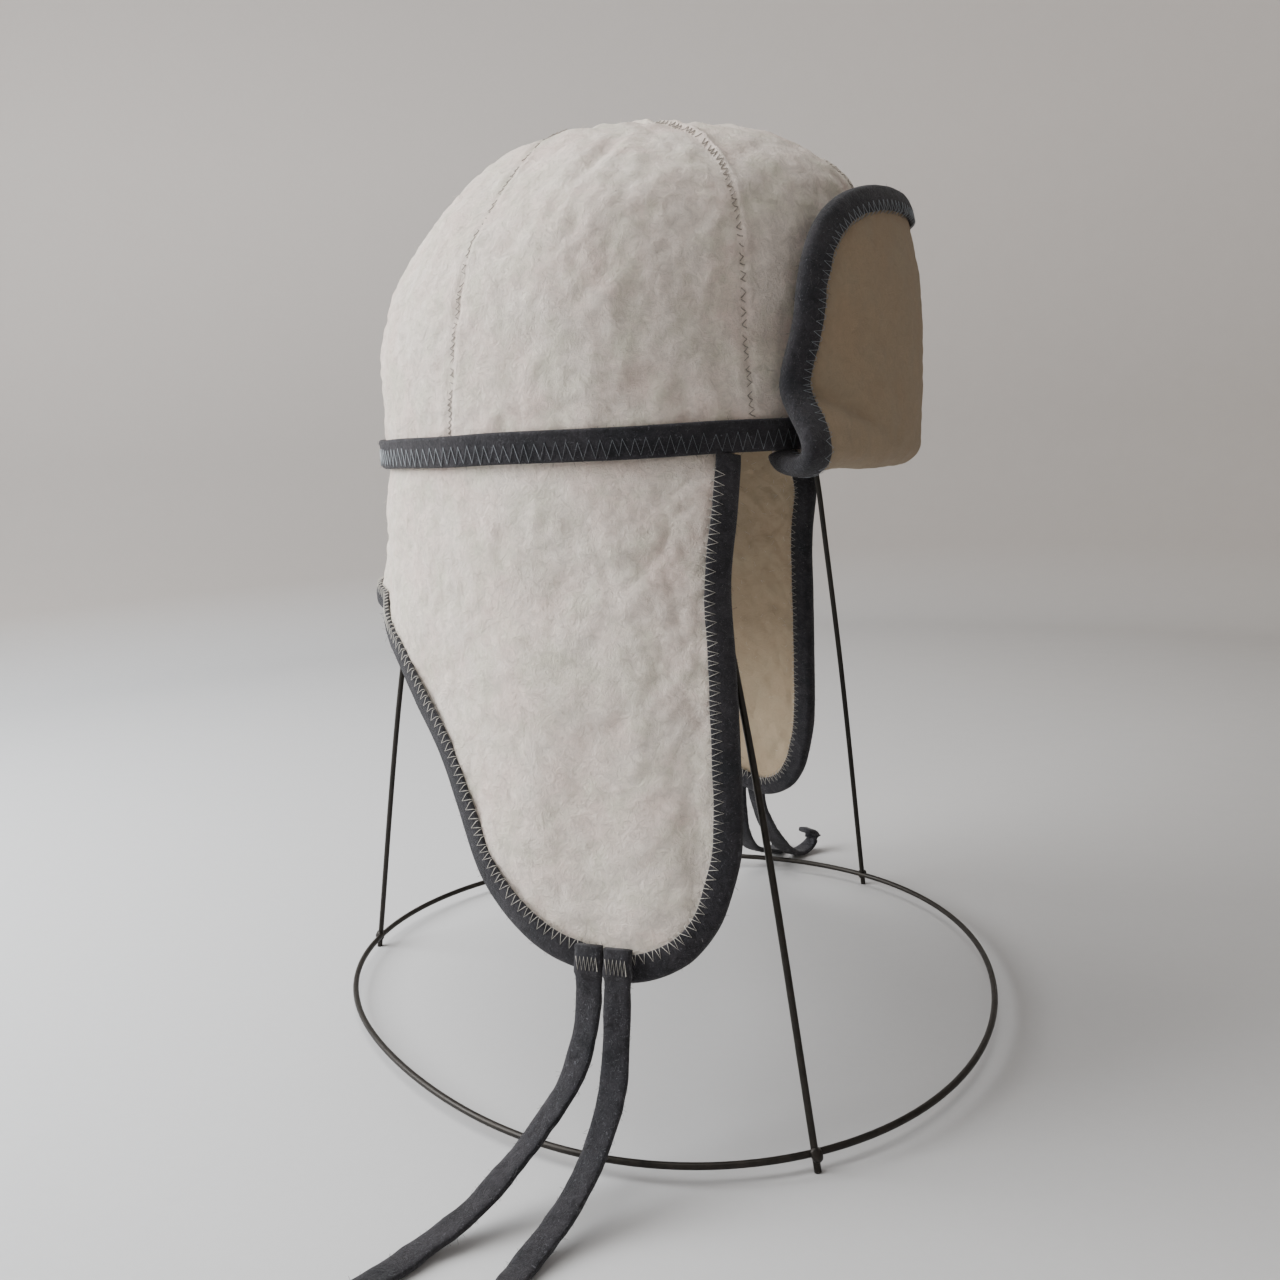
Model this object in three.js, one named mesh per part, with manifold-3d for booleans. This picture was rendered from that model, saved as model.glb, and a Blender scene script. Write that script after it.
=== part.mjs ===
// A felt sauna hat with two ear flaps, a turned-up visor, bound edges and four tie strings,
// on the three-legged wire stand that it is kept on.
// Millimetres, +Z up. The origin is on the table under the middle of the stand, and +X is the
// hat's front. A turn is an angle in degrees from the front, seen from above.
import * as THREE from "three";
import { mergeVertices } from "three/addons/utils/BufferGeometryUtils.js";
import Module from "manifold-3d";

// Felt and gaps
const felt = 3;
const trimFelt = 1.5;
const gap = 0.3;

// The hat at its band, outside
const halfLength = 97;
const halfBack = 93.5;
const halfWidth = 92;
const hatCentre = -6;
const seamHeight = 226;
const crownRise = 115.5;
const panelPuff = 2.2;
const crownHole = 1.6;

// Band and bindings
const bandWidth = 10;
const bindingWidth = 9;
const bindingEase = 0.45;

// Neck piece and ear flaps
const flapDrop = 166.5;
const flapFrontTurn = 51.2;
const leftForward = 4.8;
const leftLonger = 0.03;

// Visor
const visorTurn = 43.3;
const visorTall = 83;
const visorStandOff = 14;
const visorBulge = 2.5;
const visorLean = 4;
const visorEndOut = 6;
const visorEndIn = 8;
const visorPinch = 22;
const visorEndLift = 2;

// Tie strings
const tieWidth = 8.5;
const tieThick = 2.5;

// Wire stand
const wire = 2.4;
const ringRadius = 133;
const ringHeight = 5.6;
const legInset = 8;
const topRingRadius = 52;
const weldOverlap = 1.8;
const legBend = 0.12;

// The crown's outline from the band to the top: how far out it is, as a share of the band's
// radius, and its height at the back and at the fuller front, as shares of the crown's rise
const crownOutline = [
  { out: 1.0, back: 0.0, front: 0.0 },
  { out: 0.985, back: 0.12, front: 0.3 },
  { out: 0.96, back: 0.3, front: 0.6 },
  { out: 0.9, back: 0.455, front: 0.75 },
  { out: 0.8, back: 0.592, front: 0.82 },
  { out: 0.66, back: 0.73, front: 0.885 },
  { out: 0.48, back: 0.872, front: 0.927 },
  { out: 0.3, back: 0.955, front: 0.955 },
  { out: 0.16, back: 0.99, front: 0.975 },
  { out: 0.07, back: 0.972, front: 0.962 },
];
const crownDent = 0.955;

// The six gores of the crown, between the turns of their seams
const gores = [
  { name: "crown_front_left", from: 0, to: 48 },
  { name: "crown_side_left", from: 48, to: 111 },
  { name: "crown_back_left", from: 111, to: 180 },
  { name: "crown_back_right", from: 180, to: 249 },
  { name: "crown_side_right", from: 249, to: 312 },
  { name: "crown_front_right", from: 312, to: 360 },
];

// The felt's free edge from just under the band, down the flap's front, round its end and up
// to the middle of the neck: the turn, and how far down the felt it lies, as a share of the
// flap's drop
const hem = [
  { turn: 52, down: 0.055 },
  { turn: 54, down: 0.14 },
  { turn: 57.2, down: 0.278 },
  { turn: 58.2, down: 0.43 },
  { turn: 59.3, down: 0.6 },
  { turn: 60.7, down: 0.775 },
  { turn: 62.8, down: 0.86 },
  { turn: 65.3, down: 0.925 },
  { turn: 69.5, down: 0.977 },
  { turn: 76.5, down: 1.006 },
  { turn: 83, down: 0.99 },
  { turn: 89.5, down: 0.96 },
  { turn: 96.5, down: 0.902 },
  { turn: 102.8, down: 0.827 },
  { turn: 108.3, down: 0.722 },
  { turn: 114.8, down: 0.617 },
  { turn: 122.8, down: 0.537 },
  { turn: 133.5, down: 0.448 },
  { turn: 147, down: 0.398 },
  { turn: 160, down: 0.366 },
  { turn: 180, down: 0.354 },
];

// How far the flaps and the neck piece lean outwards, as a slope, from the left flap's front
// edge round the neck to the right flap's. A leg pushes the neck and the right flap's front out.
const skirtLean = [
  { turn: 50, slope: 0.05 },
  { turn: 85, slope: 0.05 },
  { turn: 125, slope: 0.06 },
  { turn: 156, slope: 0.08 },
  { turn: 170, slope: 0.22 },
  { turn: 190, slope: 0.22 },
  { turn: 204, slope: 0.08 },
  { turn: 235, slope: 0.1 },
  { turn: 275, slope: 0.2 },
  { turn: 292, slope: 0.24 },
  { turn: 301, slope: 0.27 },
  { turn: 312, slope: 0.28 },
];

// The visor's side edge above its fold: its height and its turn, as shares of the visor's own
const visorEdge = [
  { up: 0.0, side: 1.0 },
  { up: 0.28, side: 0.985 },
  { up: 0.48, side: 0.925 },
  { up: 0.64, side: 0.89 },
  { up: 0.77, side: 0.835 },
  { up: 0.865, side: 0.76 },
  { up: 0.94, side: 0.64 },
  { up: 0.985, side: 0.47 },
  { up: 1.0, side: 0.3 },
];

// The hand-bent base ring wanders from a circle: waves round it, their depth as a share of
// its radius, and the turn of a crest
const ringWaves = [
  { waves: 2, depth: 0.043, crest: -31 },
  { waves: 3, depth: 0.036, crest: 53 },
];

// The legs: the turn of each foot, and the turn at which the leg passes inside the band
const legs = [
  { foot: -56.5, waist: -59.7 },
  { foot: 59.2, waist: 43.4 },
  { foot: 177.3, waist: 180.4 },
];

// The tie strings' own routes, millimetres, from the sewn end to the free end
const tieRoutes = [
  {
    name: "tie_right_rear",
    points: [
      [10.2, -124.9, 73],
      [10.15, -126.6, 65],
      [10.1, -128.6, 55],
      [9.2, -132.3, 45.5],
      [6.4, -139.2, 34.5],
      [-0.4, -149.0, 24.0],
      [-8.3, -158.7, 14.6],
      [-16.4, -169.4, 7.4],
      [-25.2, -179.9, 3.2],
      [-31.0, -189.5, 1.9],
      [-36.5, -198.5, 1.7],
    ],
  },
  {
    name: "tie_right_front",
    points: [
      [19.8, -125.2, 72.5],
      [19.7, -126.9, 65],
      [19.6, -129.0, 55],
      [19.9, -132.8, 45],
      [20.4, -141.0, 33],
      [18.3, -151.6, 21.6],
      [14.5, -159.6, 12.6],
      [10.0, -169.3, 6.2],
      [5.6, -179.8, 2.6],
      [3.6, -189.5, 1.8],
      [2.2, -198.5, 1.7],
    ],
  },
  {
    name: "tie_left_rear",
    points: [
      [8.8, 102.6, 65],
      [8.85, 103.0, 57],
      [8.9, 103.6, 48],
      [8.7, 105.4, 38],
      [8.6, 109.4, 28.5],
      [9.4, 115.6, 19.8],
      [11.4, 122.4, 13.4],
      [14.2, 129.6, 9.6],
      [16.4, 137.0, 6.4],
      [18.0, 144.5, 3.3],
      [18.8, 152.0, 1.9],
      [18.6, 161.0, 1.7],
    ],
  },
  {
    name: "tie_left_front",
    points: [
      [18.6, 100.7, 64],
      [18.7, 101.1, 56],
      [19.0, 102.2, 47],
      [20.5, 105.6, 37.5],
      [22.3, 112.6, 27.6],
      [24.2, 121.6, 18.8],
      [26.0, 130.4, 11.4],
      [27.6, 137.6, 6.8],
      [28.9, 143.2, 3.6],
      [31.0, 148.8, 2.3],
      [34.4, 153.8, 3.4],
      [37.2, 156.6, 7.0],
      [36.9, 155.8, 11.2],
      [33.8, 151.6, 13.2],
    ],
  },
];

// How finely the curved pieces are cut into flat faces
const goreSteps = 6;
const bandSteps = 72;
const hemSteps = 36;
const hemShare = 0.6;
const flapRows = 6;
const visorSteps = 12;
const visorRowSteps = 36;
const tieSteps = 24;
const ringSteps = 48;
const legSteps = 9;
const wireSides = 8;

// Colours and finishes
const creamFelt = { color: 0xd9d0c6, roughness: 0.95, metalness: 0 };
const charcoalFelt = { color: 0x2e2e34, roughness: 0.92, metalness: 0 };
const darkWire = { color: 0x2a241f, roughness: 0.45, metalness: 0.8 };

const wasm = await Module();
wasm.setup();

const hat = new THREE.Group();
const rad = THREE.MathUtils.degToRad;
const lerp = THREE.MathUtils.lerp;

// A closed mesh geometry from corner points and quads or triangles, with its faces outwards
function closedGeometry(corners, faces) {
  const triangles = [];
  for (const face of faces) {
    triangles.push([face[0], face[1], face[2]]);
    if (face.length === 4) triangles.push([face[0], face[2], face[3]]);
  }
  let volume = 0;
  for (const [a, b, c] of triangles) {
    volume += corners[a].dot(new THREE.Vector3().crossVectors(corners[b], corners[c]));
  }
  const index = triangles.flatMap(([a, b, c]) => (volume > 0 ? [a, b, c] : [a, c, b]));
  const geometry = new THREE.BufferGeometry().setFromPoints(corners);
  geometry.setIndex(index);
  const faceted = geometry.toNonIndexed();
  faceted.computeVertexNormals();
  return faceted;
}

function addPiece(name, geometry, finish) {
  const mesh = new THREE.Mesh(geometry, new THREE.MeshStandardMaterial(finish));
  mesh.name = name;
  hat.add(mesh);
}

// Distance from the hat's centre to its wall at the band, moved outwards
function bandRadius(turn, out) {
  const ahead = Math.cos(rad(turn));
  const along = ahead / ((ahead < 0 ? halfBack : halfLength) + out);
  const across = Math.sin(rad(turn)) / (halfWidth + out);
  return 1 / Math.hypot(along, across);
}

function hatPoint(turn, radius, height) {
  const x = hatCentre + radius * Math.cos(rad(turn));
  return new THREE.Vector3(x, radius * Math.sin(rad(turn)), height);
}

// A wall of even thickness on a grid of places, each with its point and its normal.
// outShare of the thickness lies on the normal's side of the points.
function wallGeometry(grid, thickness, outShare) {
  const rows = grid.length;
  const columns = grid[0].length;
  const corners = [outShare, outShare - 1].flatMap((side) =>
    grid.flat().map(({ point, normal }) => point.clone().addScaledVector(normal, side * thickness)),
  );
  const at = (side, row, column) => side * rows * columns + row * columns + column;
  const faces = [];
  for (let row = 0; row + 1 < rows; row++) {
    for (let column = 0; column + 1 < columns; column++) {
      const quad = [
        [row, column],
        [row + 1, column],
        [row + 1, column + 1],
        [row, column + 1],
      ];
      faces.push(quad.map(([r, c]) => at(0, r, c)));
      faces.push(quad.map(([r, c]) => at(1, r, c)).reverse());
    }
  }
  const rim = (a, b) => faces.push([at(0, ...a), at(0, ...b), at(1, ...b), at(1, ...a)]);
  for (let column = 0; column + 1 < columns; column++) {
    rim([0, column], [0, column + 1]);
    rim([rows - 1, column + 1], [rows - 1, column]);
  }
  for (let row = 0; row + 1 < rows; row++) {
    rim([row + 1, 0], [row, 0]);
    rim([row, columns - 1], [row + 1, columns - 1]);
  }
  return closedGeometry(corners, faces);
}

// A surface's point, its two slopes and its normal, at a turn and a distance along the felt
function placeOn(surface, { turn, along }) {
  const small = 0.05;
  const point = surface(turn, along);
  const round = surface(turn + small, along).sub(point).divideScalar(small);
  const down = surface(turn, along + small).sub(point).divideScalar(small);
  const normal = new THREE.Vector3().crossVectors(round, down).normalize();
  return { point, round, down, normal };
}

// Loops of corners, one for each station, joined into a bar or into a closed ring
function loftGeometry(loops, isRing) {
  const sides = loops[0].length;
  const corners = loops.flat();
  const faces = [];
  const last = isRing ? loops.length : loops.length - 1;
  for (let station = 0; station < last; station++) {
    const next = (station + 1) % loops.length;
    for (let side = 0; side < sides; side++) {
      const after = (side + 1) % sides;
      faces.push([
        station * sides + side,
        station * sides + after,
        next * sides + after,
        next * sides + side,
      ]);
    }
  }
  if (!isRing) {
    for (const station of [0, loops.length - 1]) {
      for (const cap of capFaces(loops[station])) {
        const turned = station === 0 ? [...cap].reverse() : cap;
        faces.push(turned.map((corner) => station * sides + corner));
      }
    }
  }
  return closedGeometry(corners, faces);
}

// Triangles that close a flat loop of corners, also where it is hollowed like a binding's U
function capFaces(loop) {
  const normal = new THREE.Vector3();
  for (let k = 0; k < loop.length; k++) {
    normal.add(new THREE.Vector3().crossVectors(loop[k], loop[(k + 1) % loop.length]));
  }
  normal.normalize();
  const right = new THREE.Vector3().subVectors(loop[1], loop[0]).normalize();
  const up = new THREE.Vector3().crossVectors(normal, right);
  const outline = loop.map((p) => new THREE.Vector2(p.dot(right), p.dot(up)));
  return THREE.ShapeUtils.triangulateShape(outline, []);
}

// The crown. A gore is drawn by its turn and its row in the crown's outline.
const crownRows = [
  ...crownOutline,
  { out: crownHole / halfLength, back: crownDent, front: crownDent },
];

function crownHeight(turn, row) {
  const toFront = (1 + Math.cos(rad(turn))) / 2;
  return seamHeight + crownRise * lerp(row.back, row.front, toFront);
}

function crownPoint(gore, share, rowNumber) {
  const row = crownRows[rowNumber];
  const halfGap = THREE.MathUtils.radToDeg(gap / 2 / (row.out * halfWidth));
  const turn = lerp(gore.from + halfGap, gore.to - halfGap, share);
  const onDome = Math.sin((Math.PI * rowNumber) / (crownRows.length - 1));
  const puff = panelPuff * onDome * Math.sin(Math.PI * share) ** 2;
  const radius = row.out * (bandRadius(turn, 0) + puff);
  const lift = rowNumber === 0 ? gap / 2 : puff * (1 - row.out);
  return hatPoint(turn, radius, crownHeight(turn, row) + lift);
}

// A gore's wall is cut level at the band, and in planes through the hat's axis at its seams
function gorePlace(points, row, column) {
  const lastRow = points.length - 1;
  const lastColumn = points[0].length - 1;
  const point = points[row][column];
  const [before, after] = [Math.max(column - 1, 0), Math.min(column + 1, lastColumn)];
  const [lower, upper] = [Math.max(row - 1, 0), Math.min(row + 1, lastRow)];
  const across = new THREE.Vector3().subVectors(points[row][after], points[row][before]);
  const upwards = new THREE.Vector3().subVectors(points[upper][column], points[lower][column]);
  const normal = across.cross(upwards);
  if (row === 0) normal.z = 0;
  const round = new THREE.Vector3(-point.y, point.x - hatCentre, 0).normalize();
  if (column === 0 || column === lastColumn) normal.addScaledVector(round, -normal.dot(round));
  return { point, normal: normal.normalize() };
}

for (const gore of gores) {
  const shares = Array.from({ length: goreSteps + 1 }, (unused, step) => step / goreSteps);
  const points = crownRows.map((row, rowNumber) =>
    shares.map((share) => crownPoint(gore, share, rowNumber)),
  );
  const grid = points.map((line, row) => line.map((point, column) => gorePlace(points, row, column)));
  addPiece(gore.name, wallGeometry(grid, felt, 0), creamFelt);
}

// The band, a strip laid over the seam all round
const bandLoops = [];
for (let step = 0; step < bandSteps; step++) {
  const turn = (360 * step) / bandSteps;
  const inner = bandRadius(turn, gap);
  const outer = bandRadius(turn, gap + trimFelt);
  bandLoops.push([
    hatPoint(turn, inner, seamHeight - bandWidth / 2),
    hatPoint(turn, outer, seamHeight - bandWidth / 2),
    hatPoint(turn, outer, seamHeight + bandWidth / 2),
    hatPoint(turn, inner, seamHeight + bandWidth / 2),
  ]);
}
addPiece("band", loftGeometry(bandLoops, true), charcoalFelt);

// The skirt's slope at a turn, from its table
function leanAt(turn) {
  const next = skirtLean.findIndex((row) => row.turn > turn);
  if (next === 0) return skirtLean[0].slope;
  if (next < 0) return skirtLean.at(-1).slope;
  const [low, high] = [skirtLean[next - 1], skirtLean[next]];
  const between = (turn - low.turn) / (high.turn - low.turn);
  return lerp(low.slope, high.slope, THREE.MathUtils.smoothstep(between, 0, 1));
}

// The middle of the skirt's felt at a turn and a distance down it
function skirtPoint(turn, down) {
  const lean = Math.atan(leanAt(turn));
  const free = Math.max(down - bandWidth / 2, 0);
  const radius = bandRadius(turn, -felt / 2) + free * Math.sin(lean);
  return hatPoint(turn, radius, seamHeight - down + free * (1 - Math.cos(lean)));
}

// The visor's felt: straight down under the band, round a fold, and up outside the crown. Its
// fold bulges out at both ends, and above the fold the ends lie close to the crown.
const foldRadius = visorStandOff / 2;
const visorDown = bandWidth / 2 + gap;
const foldLength = Math.PI * foldRadius;
const visorLength = visorDown + foldLength + visorTall;

function visorPoint(turn, along) {
  let out = -felt / 2;
  let height = seamHeight - gap / 2 - along;
  const end = (turn / visorTurn) ** 2;
  if (along > visorDown + foldLength) {
    const up = along - visorDown - foldLength;
    const bulge = visorBulge * Math.sin((Math.PI * up) / visorTall);
    const pinch = (visorEndOut + visorEndIn) * THREE.MathUtils.smoothstep(up, 0, visorPinch);
    out += visorStandOff + bulge - visorLean * (up / visorTall) ** 3;
    out += end * (visorEndOut - pinch);
    height = seamHeight - gap / 2 - visorDown + up;
  } else if (along > visorDown) {
    const round = (along - visorDown) / foldRadius;
    out += (foldRadius + (end * visorEndOut) / 2) * (1 - Math.cos(round));
    height = seamHeight - gap / 2 - visorDown;
    height -= (foldRadius - end * visorEndLift) * Math.sin(round);
  }
  return hatPoint(turn, bandRadius(turn, out), height);
}

// Points of a free edge, evenly spaced, from a table of turns and distances
function smoothEdge(rows, steps) {
  const perDegree = rad(halfWidth);
  const points = rows.map(({ turn, along }) => new THREE.Vector3(turn * perDegree, along, 0));
  const curve = new THREE.CatmullRomCurve3(points, false, "centripetal");
  const even = curve.getSpacedPoints(steps);
  return even.map((p) => ({ turn: p.x / perDegree, along: p.y }));
}

// A binding folded round a free edge: a U of trim felt that follows the surface inwards
function bindingGeometry(surface, edge) {
  const near = felt / 2 + bindingEase;
  const far = near + trimFelt;
  const fold = -bindingEase - trimFelt;
  const section = [
    { inwards: fold, out: far },
    { inwards: fold + bindingWidth, out: far },
    { inwards: fold + bindingWidth, out: near },
    { inwards: -bindingEase, out: near },
    { inwards: -bindingEase, out: -near },
    { inwards: fold + bindingWidth, out: -near },
    { inwards: fold + bindingWidth, out: -far },
    { inwards: fold, out: -far },
  ];
  const loops = edge.map((place, number) => {
    const before = edge[Math.max(number - 1, 0)];
    const after = edge[Math.min(number + 1, edge.length - 1)];
    const { round, down, normal } = placeOn(surface, place);
    const forward = surface(after.turn, after.along).sub(surface(before.turn, before.along));
    const inwards = new THREE.Vector3().crossVectors(forward, normal).normalize();
    const isEnd = number === 0 || number === edge.length - 1;
    const turnStep = inwards.dot(round) / round.lengthSq();
    const alongStep = isEnd ? 0 : inwards.dot(down) / down.lengthSq();
    return section.map((corner) => {
      const turn = place.turn + corner.inwards * turnStep;
      const along = place.along + corner.inwards * alongStep;
      const under = placeOn(surface, { turn, along });
      return under.point.addScaledVector(under.normal, corner.out);
    });
  });
  return loftGeometry(loops, false);
}

// Both halves of the hem, from the left flap's front corner round the neck to the right one's
const halfHem = smoothEdge(
  hem.map(({ turn, down }) => ({ turn, along: down * flapDrop })),
  hemSteps,
);
const hemEdge = [...halfHem.map(leftwards), ...halfHem.slice(0, -1).reverse().map(mirrored)];

function mirrored({ turn, along }) {
  return { turn: 360 - turn, along };
}

// The left flap hangs a little further forward and lower than the right one
function leftwards({ turn, along }) {
  const onFlap = 1 - THREE.MathUtils.smoothstep(turn, 70, 150);
  const free = THREE.MathUtils.smoothstep(along, bandWidth / 2, 3 * bandWidth);
  return {
    turn: turn - leftForward * onFlap * free,
    along: along * (1 + leftLonger * onFlap * free),
  };
}

// Each column of the skirt's grid runs straight from its place under the crown to the hem,
// and the columns stand closer together at the top than along the hem
const leftTops = halfHem.map(({ turn }, number) => {
  const byHem = (turn - halfHem[0].turn) / (180 - halfHem[0].turn);
  return lerp(flapFrontTurn, 180, lerp(number / hemSteps, byHem, hemShare));
});
const rightTops = leftTops.slice(0, -1).reverse();
const columnTops = [...leftTops, ...rightTops.map((turn) => 360 - turn)];
const skirtGrid = [];
for (let row = 0; row <= flapRows; row++) {
  skirtGrid.push(
    hemEdge.map((end, number) => {
      const free = lerp(bandWidth / 2, end.along, (row - 1) / (flapRows - 1));
      const along = row === 0 ? gap / 2 : free;
      const turn = lerp(columnTops[number], end.turn, along / end.along);
      return placeOn(skirtPoint, { turn, along });
    }),
  );
}
addPiece("ear_flap_skirt", wallGeometry(skirtGrid, felt, 0.5), creamFelt);

const belowBand = bandWidth / 2 + trimFelt;
const hemStart = {
  turn: lerp(flapFrontTurn, halfHem[0].turn, belowBand / halfHem[0].along),
  along: belowBand,
};
const boundHem = [hemStart, ...hemEdge, mirrored(hemStart)];
addPiece("skirt_binding", bindingGeometry(skirtPoint, boundHem), charcoalFelt);

// The visor's side edge from under the crown, round the fold and up to the flat of its top
const visorSide = [
  { turn: 0.975 * visorTurn, along: gap / 2 },
  { turn: 0.98 * visorTurn, along: belowBand },
  { turn: 0.99 * visorTurn, along: visorDown + foldLength / 2 },
  ...visorEdge.map(({ up, side }) => ({
    turn: side * visorTurn,
    along: visorDown + foldLength + up * visorTall,
  })),
];
const visorRows = smoothEdge(visorSide, visorRowSteps);
const visorGrid = visorRows.map(({ turn, along }) =>
  Array.from({ length: visorSteps + 1 }, (unused, step) =>
    placeOn(visorPoint, { turn: lerp(-turn, turn, step / visorSteps), along }),
  ),
);
addPiece("visor", wallGeometry(visorGrid, felt, 0.5), creamFelt);

// Its binding runs up the right side from the band, along the top and down the left side
const leftSide = visorRows.filter(({ along }) => along >= belowBand);
const rightSide = leftSide.map(({ turn, along }) => ({ turn: -turn, along }));
const topTurn = visorRows.at(-1).turn;
const visorTop = Array.from({ length: visorSteps - 1 }, (unused, step) => ({
  turn: lerp(-topTurn, topTurn, (step + 1) / visorSteps),
  along: visorLength,
}));
const visorBound = [...rightSide, ...visorTop, ...leftSide.reverse()];
addPiece("visor_binding", bindingGeometry(visorPoint, visorBound), charcoalFelt);

// The tie strings, flat strips whose width stays level
function stripGeometry(points) {
  const curve = new THREE.CatmullRomCurve3(points.map((p) => new THREE.Vector3(...p)));
  const even = curve.getSpacedPoints(tieSteps);
  const across = new THREE.Vector3();
  const loops = even.map((place, number) => {
    const forward = curve.getTangentAt(number / tieSteps);
    const level = new THREE.Vector3(-forward.y, forward.x, 0).normalize();
    across.copy(across.dot(level) < 0 ? level.negate() : level);
    const upright = new THREE.Vector3().crossVectors(forward, across).normalize();
    return [
      [-1, -1],
      [1, -1],
      [1, 1],
      [-1, 1],
    ].map(([wide, thick]) =>
      place
        .clone()
        .addScaledVector(across, (wide * tieWidth) / 2)
        .addScaledVector(upright, (thick * tieThick) / 2),
    );
  });
  return loftGeometry(loops, false);
}

for (const { name, points } of tieRoutes) addPiece(name, stripGeometry(points), charcoalFelt);

// The wire stand, soldered into one
function solidOf(geometry) {
  const bare = new THREE.BufferGeometry();
  bare.setAttribute("position", geometry.getAttribute("position"));
  if (geometry.index) bare.setIndex(geometry.index);
  const merged = mergeVertices(bare, 1e-4);
  const triVerts = new Uint32Array(merged.index.array);
  const vertProperties = merged.attributes.position.array;
  return new wasm.Manifold(new wasm.Mesh({ numProp: 3, vertProperties, triVerts }));
}

function geometryOf(solid) {
  const { vertProperties, triVerts } = solid.getMesh();
  const geometry = new THREE.BufferGeometry();
  geometry.setAttribute("position", new THREE.BufferAttribute(vertProperties, 3));
  geometry.setIndex(new THREE.BufferAttribute(triVerts, 1));
  return geometry.toNonIndexed();
}

// A closed wire ring whose middle line is given by its turn
function wireRing(middle) {
  const loops = [];
  for (let step = 0; step < ringSteps; step++) {
    const turn = (360 * step) / ringSteps;
    const place = middle(turn);
    const outwards = new THREE.Vector3(Math.cos(rad(turn)), Math.sin(rad(turn)), 0);
    loops.push(
      Array.from({ length: wireSides }, (unused, side) => {
        const round = (2 * Math.PI * side) / wireSides;
        const corner = place.clone().addScaledVector(outwards, (wire / 2) * Math.cos(round));
        return corner.setZ(place.z + (wire / 2) * Math.sin(round));
      }),
    );
  }
  return solidOf(loftGeometry(loops, true));
}

function baseRadius(turn) {
  let share = 1;
  for (const { waves, depth, crest } of ringWaves) {
    share += depth * Math.cos(waves * rad(turn - crest));
  }
  return ringRadius * share;
}

function basePoint(turn, outwards, height) {
  const radius = baseRadius(turn) + outwards;
  return new THREE.Vector3(radius * Math.cos(rad(turn)), radius * Math.sin(rad(turn)), height);
}

// The crown rests on the top ring, first at its lower back
function topRingHeight() {
  const share = topRingRadius / halfBack;
  const upper = crownRows.findIndex(({ out }) => out < share);
  const [below, above] = [crownRows[upper - 1], crownRows[upper]];
  const between = (below.out - share) / (below.out - above.out);
  const rise = (above.back - below.back) * crownRise;
  const run = (below.out - above.out) * halfBack;
  const slope = Math.hypot(rise, run) / run;
  const outside = seamHeight + crownRise * lerp(below.back, above.back, between);
  return outside - (felt + gap + wire / 2) * slope;
}

const wireRound = new THREE.Shape().setFromPoints(
  Array.from({ length: wireSides }, (unused, side) => {
    const round = (2 * Math.PI * side) / wireSides;
    return new THREE.Vector2((wire / 2) * Math.cos(round), (wire / 2) * Math.sin(round));
  }),
);

let stand = wireRing((turn) => basePoint(turn, 0, ringHeight));
const topHeight = topRingHeight();
stand = stand.add(wireRing((turn) => hatPoint(turn, topRingRadius, topHeight)));
for (const { foot, waist } of legs) {
  const path = new THREE.CatmullRomCurve3(
    [
      basePoint(foot, weldOverlap, -wire),
      hatPoint(waist, bandRadius(waist, -legInset), seamHeight),
      hatPoint(waist, topRingRadius, topHeight),
    ],
    false,
    "catmullrom",
    legBend,
  );
  const leg = new THREE.ExtrudeGeometry(wireRound, { steps: legSteps, extrudePath: path });
  stand = stand.add(solidOf(leg));
}
const underTable = new THREE.BoxGeometry(4 * ringRadius, 4 * ringRadius, 4 * wire);
underTable.translate(0, 0, -2 * wire);
stand = stand.subtract(solidOf(underTable));
addPiece("wire_stand", geometryOf(stand), darkWire);

// The stand's middle goes over the origin
const standMiddle = new THREE.Box3().setFromObject(hat.getObjectByName("wire_stand"));
hat.position.copy(standMiddle.getCenter(new THREE.Vector3()).negate()).setZ(0);

export default hat;
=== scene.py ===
import math
import random

import bpy
from mathutils import Matrix, Vector, noise
from mathutils.geometry import interpolate_bezier


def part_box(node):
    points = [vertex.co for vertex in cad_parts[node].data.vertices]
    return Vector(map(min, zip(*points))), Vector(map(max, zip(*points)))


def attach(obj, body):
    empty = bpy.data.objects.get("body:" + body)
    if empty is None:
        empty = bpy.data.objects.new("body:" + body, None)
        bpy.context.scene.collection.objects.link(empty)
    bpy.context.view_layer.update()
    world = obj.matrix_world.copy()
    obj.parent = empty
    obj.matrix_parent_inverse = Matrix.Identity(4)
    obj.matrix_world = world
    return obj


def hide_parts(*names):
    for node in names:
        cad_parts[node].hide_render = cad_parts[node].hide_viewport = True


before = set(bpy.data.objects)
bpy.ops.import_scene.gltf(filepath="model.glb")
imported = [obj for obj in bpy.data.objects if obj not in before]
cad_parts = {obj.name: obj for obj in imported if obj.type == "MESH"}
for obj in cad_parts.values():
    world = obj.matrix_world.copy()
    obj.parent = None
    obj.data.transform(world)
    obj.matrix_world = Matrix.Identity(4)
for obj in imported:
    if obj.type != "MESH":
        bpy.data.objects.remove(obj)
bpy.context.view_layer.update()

mm = 0.001
dice = random.Random(7)

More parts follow.
